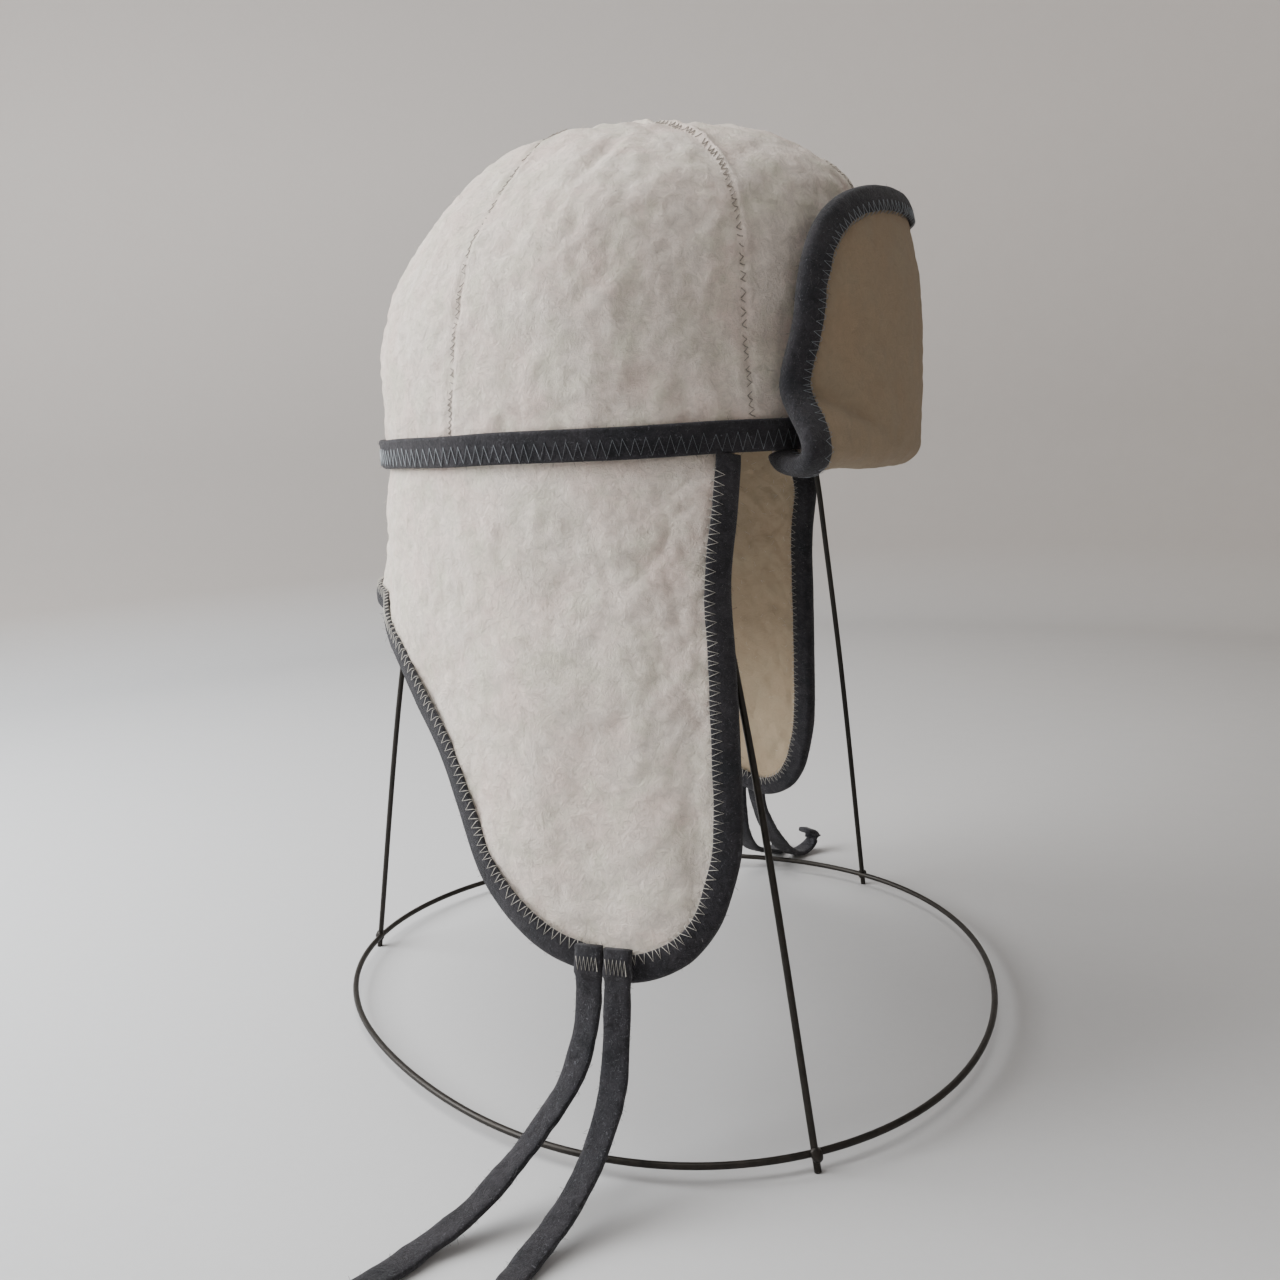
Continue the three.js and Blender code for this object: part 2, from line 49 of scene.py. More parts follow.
# the hat's own sizes come from its band in the frame
bandLow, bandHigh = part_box("band")
hat = {
    "felt": 3.0 * mm,
    "trim": 1.5 * mm,
    "gap": 0.3 * mm,
    "ease": 0.45 * mm,
    "seamHeight": (bandLow.z + bandHigh.z) / 2,
    "bandWidth": bandHigh.z - bandLow.z,
    "crownRise": 115.5 * mm,
    "flapDrop": 166.5 * mm,
    "backShorter": 3.5 * mm,
}
onBand = hat["gap"] + hat["trim"]
hat["halfWidth"] = (bandHigh.y - bandLow.y) / 2 - onBand
hat["halfLength"] = (bandHigh.x - bandLow.x + hat["backShorter"]) / 2 - onBand
hat["halfBack"] = hat["halfLength"] - hat["backShorter"]
hatAxis = Vector((bandHigh.x - onBand - hat["halfLength"], (bandLow.y + bandHigh.y) / 2, 0))
partShift = hatAxis + Vector((6 * mm, 0, 0))  # the tie routes and the camera are given from the stand


# the camera stands beside the hat and a little in front of it
camera = {
    "place": Vector((131.34 * mm, -448.70 * mm, 231.42 * mm)),
    "round": 17.0,
    "down": 10.33,
    "roll": -3.2,
    "lens": 33.19,
}


def addCamera():
    bpy.ops.object.select_all(action="DESELECT")
    bpy.ops.object.camera_add()
    eye = bpy.context.object
    eye.data.lens = camera["lens"]
    eye.data.sensor_width = 36
    eye.data.clip_start = 0.01
    turned = Matrix.Rotation(math.radians(camera["round"]), 4, "Z")
    tipped = Matrix.Rotation(math.radians(90 - camera["down"]), 4, "X")
    rolled = Matrix.Rotation(math.radians(camera["roll"]), 4, "Z")
    eye.matrix_world = Matrix.Translation(camera["place"] + partShift) @ turned @ tipped @ rolled
    bpy.context.scene.camera = eye


addCamera()
print("camera placed")


# lines and grids that the pieces are made from
def smoothLine(points, fineness=10):
    line = [points[0]]
    for number in range(len(points) - 1):
        start, end = points[number], points[number + 1]
        before = points[max(number - 1, 0)]
        after = points[min(number + 2, len(points) - 1)]
        reach = (end - start).length / 3
        leave = start + (end - before).normalized() * reach
        arrive = end - (after - start).normalized() * reach
        line += interpolate_bezier(start, leave, arrive, end, fineness + 1)[1:]
    return line


def evenSteps(line, count):
    lengths = [0.0]
    for start, end in zip(line, line[1:]):
        lengths.append(lengths[-1] + (end - start).length)
    steps, spot = [], 0
    for number in range(count + 1):
        wanted = lengths[-1] * number / count
        while spot < len(line) - 2 and lengths[spot + 1] < wanted:
            spot += 1
        share = (wanted - lengths[spot]) / max(lengths[spot + 1] - lengths[spot], 1e-12)
        steps.append(line[spot].lerp(line[spot + 1], share))
    return steps


def lineLength(line):
    return sum((end - start).length for start, end in zip(line, line[1:]))


def between(low, high, share):
    return low + (high - low) * share


def ease(share):
    share = min(max(share, 0.0), 1.0)
    return share * share * (3 - 2 * share)


def bell(distance, width):
    return math.exp(-(distance / width) ** 2)


def gridPiece(name, columns, rows, place):
    bpy.ops.object.select_all(action="DESELECT")
    bpy.ops.mesh.primitive_grid_add(x_subdivisions=columns, y_subdivisions=rows, size=2)
    piece = bpy.context.object
    piece.name = piece.data.name = name
    for point in piece.data.vertices:
        point.co = place((point.co.x + 1) / 2, (point.co.y + 1) / 2)
    bpy.ops.object.mode_set(mode="EDIT")
    bpy.ops.mesh.select_all(action="SELECT")
    bpy.ops.mesh.remove_doubles(threshold=0.004 * mm)
    bpy.ops.object.mode_set(mode="OBJECT")
    return piece


def pointFacesOut(piece):
    bpy.ops.object.mode_set(mode="EDIT")
    bpy.ops.mesh.select_all(action="SELECT")
    bpy.ops.mesh.normals_make_consistent(inside=False)
    bpy.ops.object.mode_set(mode="OBJECT")


def capEnds(piece):
    bpy.ops.object.mode_set(mode="EDIT")
    bpy.ops.mesh.select_all(action="DESELECT")
    bpy.ops.mesh.select_non_manifold()
    bpy.ops.mesh.edge_face_add()
    bpy.ops.object.mode_set(mode="OBJECT")
    pointFacesOut(piece)


def turnFaces(piece, face, outwards):
    if face.normal.dot(outwards) > 0:
        return
    bpy.ops.object.mode_set(mode="EDIT")
    bpy.ops.mesh.select_all(action="SELECT")
    bpy.ops.mesh.flip_normals()
    bpy.ops.object.mode_set(mode="OBJECT")


def turnedOut(piece, away):
    face = piece.data.polygons[len(piece.data.polygons) // 2]
    turnFaces(piece, face, away(face.center))


def giveWall(piece, thickness, offset):
    bpy.ops.object.modifier_add(type="SOLIDIFY")
    wall = piece.modifiers[-1]
    wall.thickness = thickness
    wall.offset = offset
    wall.material_offset = 1
    wall.material_offset_rim = 0
    bpy.ops.object.modifier_apply(modifier=wall.name)


def finishPiece(piece, slot, *materials):
    for material in materials:
        piece.data.materials.append(material)
    bpy.ops.object.shade_smooth()
    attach(piece, "root")


# materials
def newGroup(name, inputs, outputs):
    group = bpy.data.node_groups.new(name, "ShaderNodeTree")
    for label, kind, value in inputs:
        socket = group.interface.new_socket(label, in_out="INPUT", socket_type="NodeSocket" + kind)
        socket.default_value = value
    for label, kind in outputs:
        group.interface.new_socket(label, in_out="OUTPUT", socket_type="NodeSocket" + kind)
    return group, group.nodes.new("NodeGroupInput"), group.nodes.new("NodeGroupOutput")


def addNoise(tree, where, scale, detail, roughness=0.55, distortion=0.0):
    cloud = tree.nodes.new("ShaderNodeTexNoise")
    cloud.inputs["Scale"].default_value = scale
    cloud.inputs["Detail"].default_value = detail
    cloud.inputs["Roughness"].default_value = roughness
    cloud.inputs["Distortion"].default_value = distortion
    tree.links.new(where, cloud.inputs["Vector"])
    return cloud.outputs["Fac"]


def addRange(tree, value, low, high, newLow=0.0, newHigh=1.0):
    span = tree.nodes.new("ShaderNodeMapRange")
    span.inputs["From Min"].default_value = low
    span.inputs["From Max"].default_value = high
    span.inputs["To Min"].default_value = newLow
    span.inputs["To Max"].default_value = newHigh
    tree.links.new(value, span.inputs["Value"])
    return span.outputs["Result"]


def addMix(tree, share, first, second, blend="MIX"):
    mix = tree.nodes.new("ShaderNodeMix")
    mix.data_type = "RGBA"
    mix.blend_type = blend
    sockets = (mix.inputs["Factor"], mix.inputs[6], mix.inputs[7])
    for socket, value in zip(sockets, (share, first, second)):
        if isinstance(value, bpy.types.NodeSocket):
            tree.links.new(value, socket)
        else:
            socket.default_value = value
    return mix.outputs[2]


def addMaths(tree, kind, first, second):
    result = tree.nodes.new("ShaderNodeMath")
    result.operation = kind
    for socket, value in ((result.inputs[0], first), (result.inputs[1], second)):
        if isinstance(value, bpy.types.NodeSocket):
            tree.links.new(value, socket)
        else:
            socket.default_value = value
    return result.outputs[0]


def addTint(tree, patches, amount, color, tint):
    return addMix(tree, addMaths(tree, "MULTIPLY", patches, amount), color, tint)


# how many noise cells the wool has in a metre
wool = {"warmPatches": 48, "coolPatches": 72, "nap": 310, "hairs": 900, "hairLift": 0.45}


def makeWoolNap():
    tree, given, made = newGroup(
        "woolNap",
        (
            ("Base", "Color", (0.6, 0.56, 0.5, 1)),
            ("Warm Tint", "Color", (0.62, 0.54, 0.5, 1)),
            ("Cool Tint", "Color", (0.58, 0.58, 0.5, 1)),
            ("Fleck", "Color", (0.8, 0.8, 0.8, 1)),
            ("Mottle", "Float", 0.6),
            ("Flecks", "Float", 0.1),
            ("Depth", "Float", 0.2),
        ),
        (("Color", "Color"), ("Height", "Float")),
    )
    where = tree.nodes.new("ShaderNodeTexCoord").outputs["Object"]
    warm = addRange(tree, addNoise(tree, where, wool["warmPatches"], 4, 0.6), 0.40, 0.66)
    moved = tree.nodes.new("ShaderNodeMapping")
    moved.inputs["Location"].default_value = (0.31, 0.17, 0.53)
    tree.links.new(where, moved.inputs["Vector"])
    beside = moved.outputs["Vector"]
    cool = addRange(tree, addNoise(tree, beside, wool["coolPatches"], 5, 0.65), 0.45, 0.68)
    fine = addNoise(tree, where, wool["nap"], 8, 0.72, 1.2)
    hair = addNoise(tree, beside, wool["hairs"], 4, 0.6, 2.5)
    mottle = given.outputs["Mottle"]
    color = addTint(tree, warm, mottle, given.outputs["Base"], given.outputs["Warm Tint"])
    color = addTint(tree, cool, mottle, color, given.outputs["Cool Tint"])
    # painted shade and light: the colour is darkened where the fine nap noise is low and lightened where it
    # is high, the same noise that lifts the bump
    shade = addRange(tree, fine, 0.25, 0.75, -1.0, 1.0)
    shade = addMaths(tree, "MULTIPLY", shade, given.outputs["Depth"])
    shade = addMaths(tree, "ADD", shade, 1.0)
    scaled = tree.nodes.new("ShaderNodeVectorMath")
    scaled.operation = "SCALE"
    tree.links.new(color, scaled.inputs[0])
    tree.links.new(shade, scaled.inputs["Scale"])
    flecks = addRange(tree, hair, 0.60, 0.72)
    flecks = addMaths(tree, "MULTIPLY", flecks, given.outputs["Flecks"])
    tree.links.new(addMix(tree, flecks, scaled.outputs[0], given.outputs["Fleck"]), made.inputs["Color"])
    raised = addMaths(tree, "MULTIPLY", hair, wool["hairLift"])
    tree.links.new(addMaths(tree, "ADD", fine, raised), made.inputs["Height"])
    return tree


woolNap = makeWoolNap()


def feltMaterial(name, look):
    material = bpy.data.materials.new(name)
    material.use_nodes = True
    tree = material.node_tree
    shader = tree.nodes["Principled BSDF"]
    shader.inputs["Roughness"].default_value = look["roughness"]
    shader.inputs["Sheen Weight"].default_value = look["sheen"]
    shader.inputs["Sheen Roughness"].default_value = 0.45
    shader.inputs["Specular IOR Level"].default_value = 0.15
    nap = tree.nodes.new("ShaderNodeGroup")
    nap.node_tree = woolNap
    for label in ("Base", "Warm Tint", "Cool Tint", "Fleck"):
        nap.inputs[label].default_value = (*look[label], 1)
    for label in ("Mottle", "Flecks", "Depth"):
        nap.inputs[label].default_value = look[label]
    tree.links.new(nap.outputs["Color"], shader.inputs["Base Color"])
    bump = tree.nodes.new("ShaderNodeBump")
    bump.inputs["Strength"].default_value = look["bump"]
    bump.inputs["Distance"].default_value = 1.4 * mm
    tree.links.new(nap.outputs["Height"], bump.inputs["Height"])
    tree.links.new(bump.outputs["Normal"], shader.inputs["Normal"])
    return material


creamFelt = feltMaterial("creamFelt", {
    "Base": (0.75, 0.675, 0.605), "Warm Tint": (0.72, 0.595, 0.53), "Cool Tint": (0.65, 0.615, 0.51),
    "Fleck": (0.84, 0.80, 0.75), "Mottle": 0.9, "Flecks": 0.35, "Depth": 0.24,
    "roughness": 0.95, "sheen": 0.12, "bump": 0.9,
})
# painted shade: dark brown felt for the visor's turned-up outer face, standing in for the shade that face
# lies in
paintedShadeFelt = feltMaterial("paintedShadeFelt", {
    "Base": (0.285, 0.222, 0.152), "Warm Tint": (0.28, 0.207, 0.137), "Cool Tint": (0.27, 0.222, 0.157),
    "Fleck": (0.5, 0.43, 0.33), "Mottle": 0.6, "Flecks": 0.15, "Depth": 0.12,
    "roughness": 0.95, "sheen": 0.08, "bump": 0.5,
})
# painted shade: the felt's inside face, darker and warmer than the cream, standing in for the shade inside
# the crown and the flaps
paintedShadeInsideFelt = feltMaterial("paintedShadeInsideFelt", {
    "Base": (0.395, 0.312, 0.215), "Warm Tint": (0.385, 0.288, 0.195), "Cool Tint": (0.37, 0.312, 0.22),
    "Fleck": (0.62, 0.55, 0.44), "Mottle": 0.45, "Flecks": 0.2, "Depth": 0.08,
    "roughness": 0.95, "sheen": 0.1, "bump": 0.4,
})
charcoalFelt = feltMaterial("charcoalFelt", {
    "Base": (0.025, 0.024, 0.028), "Warm Tint": (0.034, 0.032, 0.036), "Cool Tint": (0.017, 0.018, 0.021),
    "Fleck": (0.16, 0.16, 0.18), "Mottle": 0.9, "Flecks": 0.75, "Depth": 0.6,
    "roughness": 0.9, "sheen": 0.12, "bump": 0.7,
})


def plainMaterial(name, color, roughness, metallic, scale, change):
    material = bpy.data.materials.new(name)
    material.use_nodes = True
    tree = material.node_tree
    shader = tree.nodes["Principled BSDF"]
    shader.inputs["Metallic"].default_value = metallic
    where = tree.nodes.new("ShaderNodeTexCoord").outputs["Object"]
    cloud = addNoise(tree, where, scale, 5, 0.6)
    dark = tuple(part * (1 - change) for part in color)
    light = tuple(min(part * (1 + change), 1) for part in color)
    share = addRange(tree, cloud, 0.3, 0.7)
    tree.links.new(addMix(tree, share, (*dark, 1), (*light, 1)), shader.inputs["Base Color"])
    dulled = addRange(tree, cloud, 0.3, 0.7, roughness - 0.1, roughness + 0.1)
    tree.links.new(dulled, shader.inputs["Roughness"])
    bump = tree.nodes.new("ShaderNodeBump")
    bump.inputs["Strength"].default_value = 0.25
    bump.inputs["Distance"].default_value = 0.2 * mm
    tree.links.new(cloud, bump.inputs["Height"])
    tree.links.new(bump.outputs["Normal"], shader.inputs["Normal"])
    return material


greyThread = plainMaterial("greyThread", (0.22, 0.24, 0.26), 0.6, 0.0, 900, 0.25)
paleThread = plainMaterial("paleThread", (0.50, 0.48, 0.43), 0.6, 0.0, 900, 0.2)
dullThread = plainMaterial("dullThread", (0.24, 0.215, 0.185), 0.7, 0.0, 900, 0.4)
darkWire = plainMaterial("darkWire", (0.020, 0.017, 0.014), 0.42, 0.6, 240, 0.35)
print("materials made")


# the felt surfaces: where each lies, and its soft lumps
crownOutline = (  # out is a share of the band's radius, back and front are shares of the rise
    (1.0, 0.0, 0.0), (0.985, 0.12, 0.3), (0.96, 0.3, 0.6), (0.9, 0.455, 0.75), (0.8, 0.592, 0.82),
    (0.66, 0.73, 0.885), (0.48, 0.872, 0.927), (0.3, 0.955, 0.955), (0.16, 0.99, 0.975),
    (0.07, 0.972, 0.962), (0.0, 0.955, 0.955),
)
skirtLean = (  # turn and slope
    (50, 0.05), (85, 0.05), (125, 0.06), (156, 0.08), (170, 0.22), (190, 0.22), (204, 0.08),
    (235, 0.1), (275, 0.2), (292, 0.24), (301, 0.27), (312, 0.28),
)
hem = (  # turn, and how far down the felt, as a share of the flap's drop
    (52, 0.055), (54, 0.14), (57.2, 0.278), (58.2, 0.43), (59.3, 0.6), (60.7, 0.775),
    (62.8, 0.86), (65.3, 0.925), (69.5, 0.977), (76.5, 1.006), (83, 0.99), (89.5, 0.96),
    (96.5, 0.902), (102.8, 0.827), (108.3, 0.722), (114.8, 0.617), (122.8, 0.537),
    (133.5, 0.448), (147, 0.398), (160, 0.366), (180, 0.354),
)
visorEdge = (  # up and side are shares of the visor's height and of its turn
    (0.0, 1.0), (0.28, 0.985), (0.48, 0.925), (0.64, 0.89), (0.77, 0.835), (0.865, 0.76),
    (0.94, 0.64), (0.985, 0.47), (1.0, 0.3),
)
flaps = {
    "frontTurn": 51.2, "leftForward": 4.8, "leftLonger": 0.03,
    "fadeTurn": 70, "fadeRound": 80, "fadeDown": 2.5 * hat["bandWidth"],
}
visor = {
    "turn": 43.3, "tall": 83 * mm, "standOff": 14 * mm, "bulge": 2.5 * mm, "lean": 4 * mm,
    "endOut": 6 * mm, "endIn": 8 * mm, "pinch": 22 * mm, "endLift": 2 * mm,
}


def bandRadius(turn, out=0.0):
    ahead, aside = math.cos(math.radians(turn)), math.sin(math.radians(turn))
    length = hat["halfBack"] if ahead < 0 else hat["halfLength"]
    return 1 / math.hypot(ahead / (length + out), aside / (hat["halfWidth"] + out))


def hatPoint(turn, radius, height):
    angle = math.radians(turn)
    return Vector((hatAxis.x + radius * math.cos(angle), hatAxis.y + radius * math.sin(angle), height))


def crownTable():
    points = [Vector((out * hat["halfLength"], back * hat["crownRise"], front * hat["crownRise"]))
              for out, back, front in crownOutline]
    return evenSteps(smoothLine(points), 200)


crownLine = crownTable()
seams = (  # turn at the band, turn at the top, and how far the seam allowance stands up
    (0, 0, 1.0), (48, 48, 1.0), (111, 106, 0.3), (180, 180, 0.6), (246, 256, 0.15), (312, 312, 1.0),
)


def crownBase(turn, reach):
    spot = min(max(reach, 0.0), 1.0) * (len(crownLine) - 1)
    number = min(int(spot), len(crownLine) - 2)
    out, back, front = crownLine[number].lerp(crownLine[number + 1], spot - number)
    toFront = (1 + math.cos(math.radians(turn))) / 2
    away = [(turn - between(low, high, reach) + 180) % 360 - 180 for low, high, ridge in seams]
    near = min(range(len(seams)), key=lambda number: abs(away[number]))
    puff = 2.2 * mm * math.sin(math.pi * reach) * math.sin(math.radians(min(abs(away[near]), 30) * 3)) ** 2
    share = out / hat["halfLength"]
    radius = share * (bandRadius(turn) + puff)
    height = hat["seamHeight"] + between(back, front, toFront) + puff * (1 - share)
    aside = math.radians(away[near]) * share * hat["halfLength"]
    return hatPoint(turn, radius, height), aside, seams[near][2]


def leanAt(turn):
    turn %= 360
    for (low, lowSlope), (high, highSlope) in zip(skirtLean, skirtLean[1:]):
        if turn <= high:
            return between(lowSlope, highSlope, ease((turn - low) / (high - low)))
    return skirtLean[-1][1]


def skirtPoint(turn, down):
    lean = math.atan(leanAt(turn))
    free = max(down - hat["bandWidth"] / 2, 0)
    radius = bandRadius(turn, -hat["felt"] / 2) + free * math.sin(lean)
    return hatPoint(turn, radius, hat["seamHeight"] - down + free * (1 - math.cos(lean)))


foldRadius = visor["standOff"] / 2
foldLength = math.pi * foldRadius
visorDown = hat["bandWidth"] / 2 + hat["gap"]
visorLength = visorDown + foldLength + visor["tall"]
visorTop = hat["seamHeight"] - hat["gap"] / 2


def visorPoint(turn, along):
    out = -hat["felt"] / 2
    height = visorTop - along
    end = (turn / visor["turn"]) ** 2
    if along > visorDown + foldLength:
        up = along - visorDown - foldLength
        share = up / visor["tall"]
        out += visor["standOff"] + visor["bulge"] * math.sin(math.pi * share) - visor["lean"] * share ** 3
        out += end * between(visor["endOut"], -visor["endIn"], ease(up / visor["pinch"]))
        height = visorTop - visorDown + up
    elif along > visorDown:
        bend = (along - visorDown) / foldRadius
        out += (foldRadius + end * visor["endOut"] / 2) * (1 - math.cos(bend))
        height = visorTop - visorDown - (foldRadius - end * visor["endLift"]) * math.sin(bend)
    return hatPoint(turn, bandRadius(turn, out), height)


nudge = {"turn": 0.05, "along": 0.05 * mm}


def slopes(surface, turn, along):
    point = surface(turn, along)
    roundSlope = (surface(turn + nudge["turn"], along) - point) / nudge["turn"]
    downSlope = (surface(turn, along + nudge["along"]) - point) / nudge["along"]
    return roundSlope, downSlope


def faceAt(surface, turn, along):
    roundSlope, downSlope = slopes(surface, turn, along)
    return surface(turn, along), downSlope.cross(roundSlope).normalized()


# soft lumps of the felt, in mm: swellings, pilling and fine creases
def lumps(spot, seed):
    swell = noise.noise(spot / (34 * mm) + Vector((seed, 0, 0))) * 1.3
    soft = noise.noise(spot / (14 * mm) + Vector((0, seed, 0))) * 0.7
    pebble = noise.noise(spot / (6.5 * mm) + Vector((0, 0, seed))) * 0.7
    small = noise.noise(spot / (3.6 * mm) + Vector((0, 0, seed))) * 0.4
    crease = noise.noise(spot / (17 * mm) + Vector((seed, seed, 0)))
    return (swell + soft + pebble + small - 0.3 * bell(crease, 0.1)) * mm


# crown: one felt shell of six gores, with puckers above the band and a dent in its top
crown = {
    "columns": 400, "rows": 104, "line": 0.55 * mm, "ridge": 1.3 * mm, "sides": 0.25 * mm,
    "pucker": 0.9 * mm, "gathers": 0.19, "step": 0.004,
    "dentAt": Vector((-4 * mm, -27 * mm, 0)), "dent": 5.4 * mm,
    "creaseAt": Vector((-4 * mm, -15.5 * mm, 0)), "crease": 4.2 * mm,
    "foldAt": Vector((15 * mm, -66 * mm, 0)), "fold": 2.4 * mm,
}


def seamRelief(aside, reach, ridge):
    line = crown["line"] * bell(aside, 1.0 * mm)
    stands = ridge * between(0.15, 1, ease((reach - 0.35) / 0.25)) * ease((1 - reach) / 0.12)
    profile = bell(aside - 1.5 * mm, 1.5 * mm) - 0.35 * bell(aside + 2.2 * mm, 2 * mm)
    sides = crown["sides"] * bell(abs(aside) - 3 * mm, 1.4 * mm)
    return (sides - line) * ease((1 - reach) / 0.08) + crown["ridge"] * stands * profile


def topForm(spot):
    across = (spot - hatAxis).xy
    inDent = across - crown["dentAt"].xy
    inDent.x *= 0.78
    inCrease = across - crown["creaseAt"].xy
    inFold = across - crown["foldAt"].xy
    hollow = crown["dent"] * math.exp(-(inDent.length / (12 * mm)) ** 4)
    crease = crown["crease"] * bell(inCrease.x, 10 * mm) * bell(inCrease.y, 2.8 * mm)
    fold = crown["fold"] * bell(inFold.x - 0.4 * inFold.y, 4 * mm) * bell(inFold.y, 9 * mm)
    return -hollow - crease - fold


def makeCrown():
    def place(column, row):
        turn, reach = 360 * column, row
        point, aside, ridge = crownBase(turn, reach)
        beside = crownBase(turn + 0.2, reach)[0] - point
        below = crownBase(turn, max(reach - crown["step"], 0))[0]
        above = crownBase(turn, min(reach + crown["step"], 1))[0]
        normal = beside.cross(above - below)
        normal = normal.normalized() if normal.length > 1e-12 else Vector((0, 0, 1))
        fade = ease(reach / 0.05)
        tall = point.z - hat["seamHeight"]
        gather = noise.noise(Vector((turn * crown["gathers"], tall / (30 * mm), 9.0)))
        pucker = crown["pucker"] * gather * bell(tall - 12 * mm, 16 * mm)
        relief = lumps(point, 3.1) * ease((1 - reach) / 0.1) + pucker
        seam = seamRelief(aside, reach, ridge)
        dented = Vector((0, 0, topForm(point) * ease(reach / 0.5)))
        return point + normal * ((relief + seam) * fade) + dented

    shell = gridPiece("crown", crown["columns"], crown["rows"], place)
    turnedOut(shell, lambda spot: spot - hatAxis - Vector((0, 0, hat["seamHeight"])))
    # the crown's inside face wears the painted-shade inside felt
    finishPiece(shell, "cream_felt", creamFelt, paintedShadeInsideFelt)
    giveWall(shell, hat["felt"], -1)
    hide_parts("crown_front_left", "crown_side_left", "crown_back_left",
                "crown_back_right", "crown_side_right", "crown_front_right")


makeCrown()
print("crown made")


# neck piece and ear flaps: one felt sheet under the band
skirt = {
    "columns": 400, "rows": 104, "hemShare": 0.6, "pinch": 1.3 * mm, "pinchDown": 9 * mm,
    "wrinkle": 0.9 * mm, "wrinkleDown": 13 * mm, "wrinkleTurn": 264, "wrinkleRound": 12,
}


def edgeLine(rows, count):
    perDegree = math.radians(hat["halfWidth"])
    line = smoothLine([Vector((turn * perDegree, along, 0)) for turn, along in rows])
    return [(point.x / perDegree, point.y) for point in evenSteps(line, count)]


def leftwards(turn, along):
    onFlap = 1 - ease((turn - flaps["fadeTurn"]) / flaps["fadeRound"])
    onFlap *= ease((along - hat["bandWidth"] / 2) / flaps["fadeDown"])
    return turn - flaps["leftForward"] * onFlap, along * (1 + flaps["leftLonger"] * onFlap)


halfHem = edgeLine([(turn, down * hat["flapDrop"]) for turn, down in hem], 300)
hemEdge = [leftwards(*place) for place in halfHem]
hemEdge += [(360 - turn, along) for turn, along in reversed(halfHem[:-1])]


def listAt(values, share):
    spot = share * (len(values) - 1)
    number = min(int(spot), len(values) - 2)
    ends = zip(values[number], values[number + 1])
    return tuple(between(low, high, spot - number) for low, high in ends)


def makeSkirt():
    def place(column, row):
        endTurn, end = listAt(hemEdge, column)
        half = column * 2 if column <= 0.5 else (1 - column) * 2
        halfTurn = listAt(halfHem, half)[0]
        byHem = (halfTurn - hem[0][0]) / (180 - hem[0][0])
        top = between(flaps["frontTurn"], 180, between(half, byHem, skirt["hemShare"]))
        top = top if column <= 0.5 else 360 - top
        along = between(hat["gap"] / 2, end, row)
        turn = between(top, endTurn, along / end)
        point, normal = faceAt(skirtPoint, turn, along)
        free = along - hat["bandWidth"] / 2
        fromFront = math.radians(hat["halfWidth"]) * (halfTurn - hem[0][0])
        toEdge = min((end - along), fromFront + 30 * mm * (1 - row))
        fade = ease(free / (12 * mm)) * between(0.25, 1, ease(toEdge / (14 * mm)))
        pinch = -skirt["pinch"] * math.exp(-max(free, 0) / skirt["pinchDown"]) if free > -1 * mm else 0
        wave = noise.noise(Vector((turn * 0.06, 1.0, 5.0))) * 2 * mm
        wrinkle = skirt["wrinkle"] * bell(along - skirt["wrinkleDown"] - wave, 2.2 * mm)
        wrinkle *= bell(turn - skirt["wrinkleTurn"], skirt["wrinkleRound"])
        return point + normal * (lumps(point, 8.7) * fade + pinch + wrinkle)

    sheet = gridPiece("neckAndFlaps", skirt["columns"], skirt["rows"], place)
    turnedOut(sheet, lambda spot: spot - hatAxis - Vector((0, 0, spot.z)))
    # the inside of the neck piece and flaps wears the painted-shade inside felt
    finishPiece(sheet, "cream_felt", creamFelt, paintedShadeInsideFelt)
    giveWall(sheet, hat["felt"], 0)
    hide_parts("ear_flap_skirt")


makeSkirt()
print("neck and flaps made")


# visor: felt sewn under the band, folded up in front of the crown
visorCrease = {"deep": 2.2 * mm, "up": 0.17, "turn": 33, "slant": 0.009, "middle": 30}
bindingStart = 6.5 * mm
visorSide = [(0.975 * visor["turn"], hat["gap"] / 2), (0.98 * visor["turn"], bindingStart),
             (0.99 * visor["turn"], visorDown + foldLength / 2)]
visorSide += [(side * visor["turn"], visorDown + foldLength + up * visor["tall"]) for up, side in visorEdge]
visorRows = edgeLine(visorSide, 240)


def makeVisor():
    def place(column, row):
        side, along = listAt(visorRows, row)
        turn = between(-side, side, column)
        point, normal = faceAt(visorPoint, turn, along)
        toSide = min(column, 1 - column) * 2 * side * math.radians(hat["halfWidth"])
        toEdge = min(toSide, visorLength - along)
        fade = ease((along - visorDown) / (12 * mm)) * between(0.2, 1, ease(toEdge / (14 * mm)))
        up = (along - visorDown - foldLength) / visor["tall"]
        offLine = up - visorCrease["up"] + visorCrease["slant"] * (turn + visorCrease["turn"])
        crease = visorCrease["deep"] * bell(offLine, 0.045) * bell(turn + visorCrease["middle"], 11)
        return point - normal * (lumps(point, 5.3) * fade * 0.7 - crease)

    sheet = gridPiece("visorFelt", 170, 130, place)
    low = [face for face in sheet.data.polygons if face.center.z < hat["seamHeight"] - 2 * mm]
    low = [face for face in low if (face.center - hatAxis).xy.length < hat["halfLength"]]
    turnFaces(sheet, low[0], low[0].center - hatAxis - Vector((0, 0, low[0].center.z)))
    # the visor's turned-up outer face wears the painted-shade felt, darker and browner than the cream
    finishPiece(sheet, "cream_felt", creamFelt, paintedShadeFelt)
    giveWall(sheet, hat["felt"], 0)
    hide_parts("visor")


makeVisor()
print("visor made")


# the band and the bindings, charcoal trim folded over the edges
binding = {"width": 6.7 * mm, "lip": 0.35 * mm, "puff": 0.35 * mm, "startTurn": 51.74}


def corners(*places):
    return [Vector((across, out, 0)) for across, out in places]


